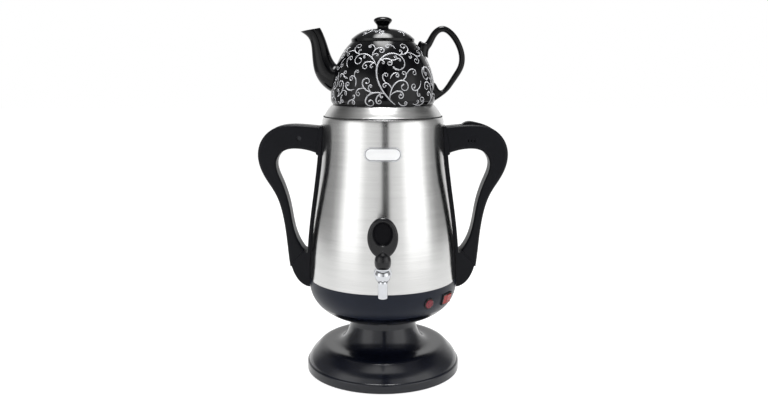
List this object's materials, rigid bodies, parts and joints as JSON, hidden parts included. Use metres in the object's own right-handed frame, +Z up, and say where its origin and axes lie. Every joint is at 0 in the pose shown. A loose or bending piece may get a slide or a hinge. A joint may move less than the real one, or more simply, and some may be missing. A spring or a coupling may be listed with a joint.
{
  "type": "electric samovar",
  "caption": "Electric tea samovar: bell-shaped steel urn on a round black pedestal, side loop handles, lever tap, and a black ceramic teapot with scroll ornament on top.",
  "frame": {"origin": "centre of the rubber ring that the samovar stands on, at table height", "axes": "+Z up; the tap faces -Y; the handle with the rocker is on +X; the teapot's spout points to -X"},
  "size_m": [0.3228, 0.247, 0.4634],
  "materials": {
    "gloss_black_plastic": "gloss",
    "satin_black_plastic": "satin",
    "brushed_steel": "brushed",
    "polished_steel": "polished",
    "floor_steel": "plain",
    "screw_steel": "plain",
    "glazed_black_ceramic": "glazed",
    "chrome_plate": "polished",
    "black_rubber": "matte",
    "grey_silicone": "matte",
    "red_lens": "translucent gloss",
    "cast_aluminium": "cast",
    "control_housing": "matte",
    "brass_pins": "plain"
  },
  "bodies": {
    "urn": {"pedestal": "gloss_black_plastic", "under_pan": "gloss_black_plastic", "base_cover": "satin_black_plastic", "base_bowl": "satin_black_plastic", "left_handle_mount": "satin_black_plastic", "right_handle_mount": "satin_black_plastic", "left_grip_front": "satin_black_plastic", "left_grip_back": "satin_black_plastic", "right_grip_front": "satin_black_plastic", "right_grip_back": "satin_black_plastic", "steel_body": "brushed_steel", "nameplate": "polished_steel", "tank_floor": "floor_steel", "floor_studs": "floor_steel", "base_cover_screws": "screw_steel", "neck_screws": "screw_steel", "pan_screws": "screw_steel", "inlet_screws": "screw_steel", "mount_studs": "screw_steel", "mount_nuts": "screw_steel", "grip_screws": "screw_steel", "heating_element": "screw_steel", "tap_body": "chrome_plate", "tap_bonnet": "chrome_plate", "tap_nut": "chrome_plate", "foot_ring": "black_rubber", "tap_gaskets": "grey_silicone", "lamp_lens": "red_lens", "heater_plate": "cast_aluminium", "lamp_bezel": "control_housing", "switch_frame": "control_housing", "power_inlet": "control_housing", "boil_switch": "control_housing", "boil_thermostat": "control_housing", "dry_boil_cutout": "control_housing", "inlet_pins": "brass_pins"},
    "urn_lid": {"samovar_lid": "brushed_steel", "lid_skirt": "grey_silicone"},
    "teapot": {"teapot_body": "glazed_black_ceramic"},
    "teapot_cover": {"teapot_lid": "glazed_black_ceramic"},
    "tap_valve": {"tap_stem": "screw_steel", "tap_pin": "screw_steel", "tap_seat_cup": "grey_silicone", "tap_spring": "screw_steel"},
    "tap_lever": {"tap_handle": "gloss_black_plastic"},
    "boil_key": {"boil_rocker": "gloss_black_plastic"},
    "power_key": {"power_rocker": "red_lens"}
  },
  "joints": [
    {"name": "lid_lift", "type": "slide", "parent": "urn", "child": "urn_lid", "axis": [0, 0, 1], "range_m": [0, 0.08]},
    {"name": "teapot_lift", "type": "slide", "parent": "urn_lid", "child": "teapot", "axis": [0, 0, 1], "range_m": [0, 0.08]},
    {"name": "teapot_lid_lift", "type": "slide", "parent": "teapot", "child": "teapot_cover", "axis": [0, 0, 1], "range_m": [0, 0.06]},
    {"name": "tap_stem_lift", "type": "slide", "parent": "urn", "child": "tap_valve", "axis": [0, 0, 1], "range_m": [0, 0.00191], "deforming": ["tap_spring"]},
    {"name": "tap_handle_tilt", "type": "hinge", "parent": "tap_valve", "child": "tap_lever", "pos_m": [0, -0.13525, 0.1794], "axis": [1, 0, 0], "range_deg": [0, 30], "stiffness_Nm_per_rad": 0.12, "springref_deg": -14.32},
    {"name": "power_rocker_tilt", "type": "hinge", "parent": "urn", "child": "power_key", "pos_m": [0.07997, -0.05193, 0.11025], "axis": [0.2107, -0.1368, 0.9679], "range_deg": [0, 14]},
    {"name": "boil_rocker_tilt", "type": "hinge", "parent": "urn", "child": "boil_key", "pos_m": [0.12203, 0, 0.321], "axis": [0, -1, 0], "range_deg": [0, 6]}
  ],
  "couplings": [
    {"joint": "tap_stem_lift", "follows": "tap_handle_tilt", "m_per_rad": 0.003629}
  ]
}
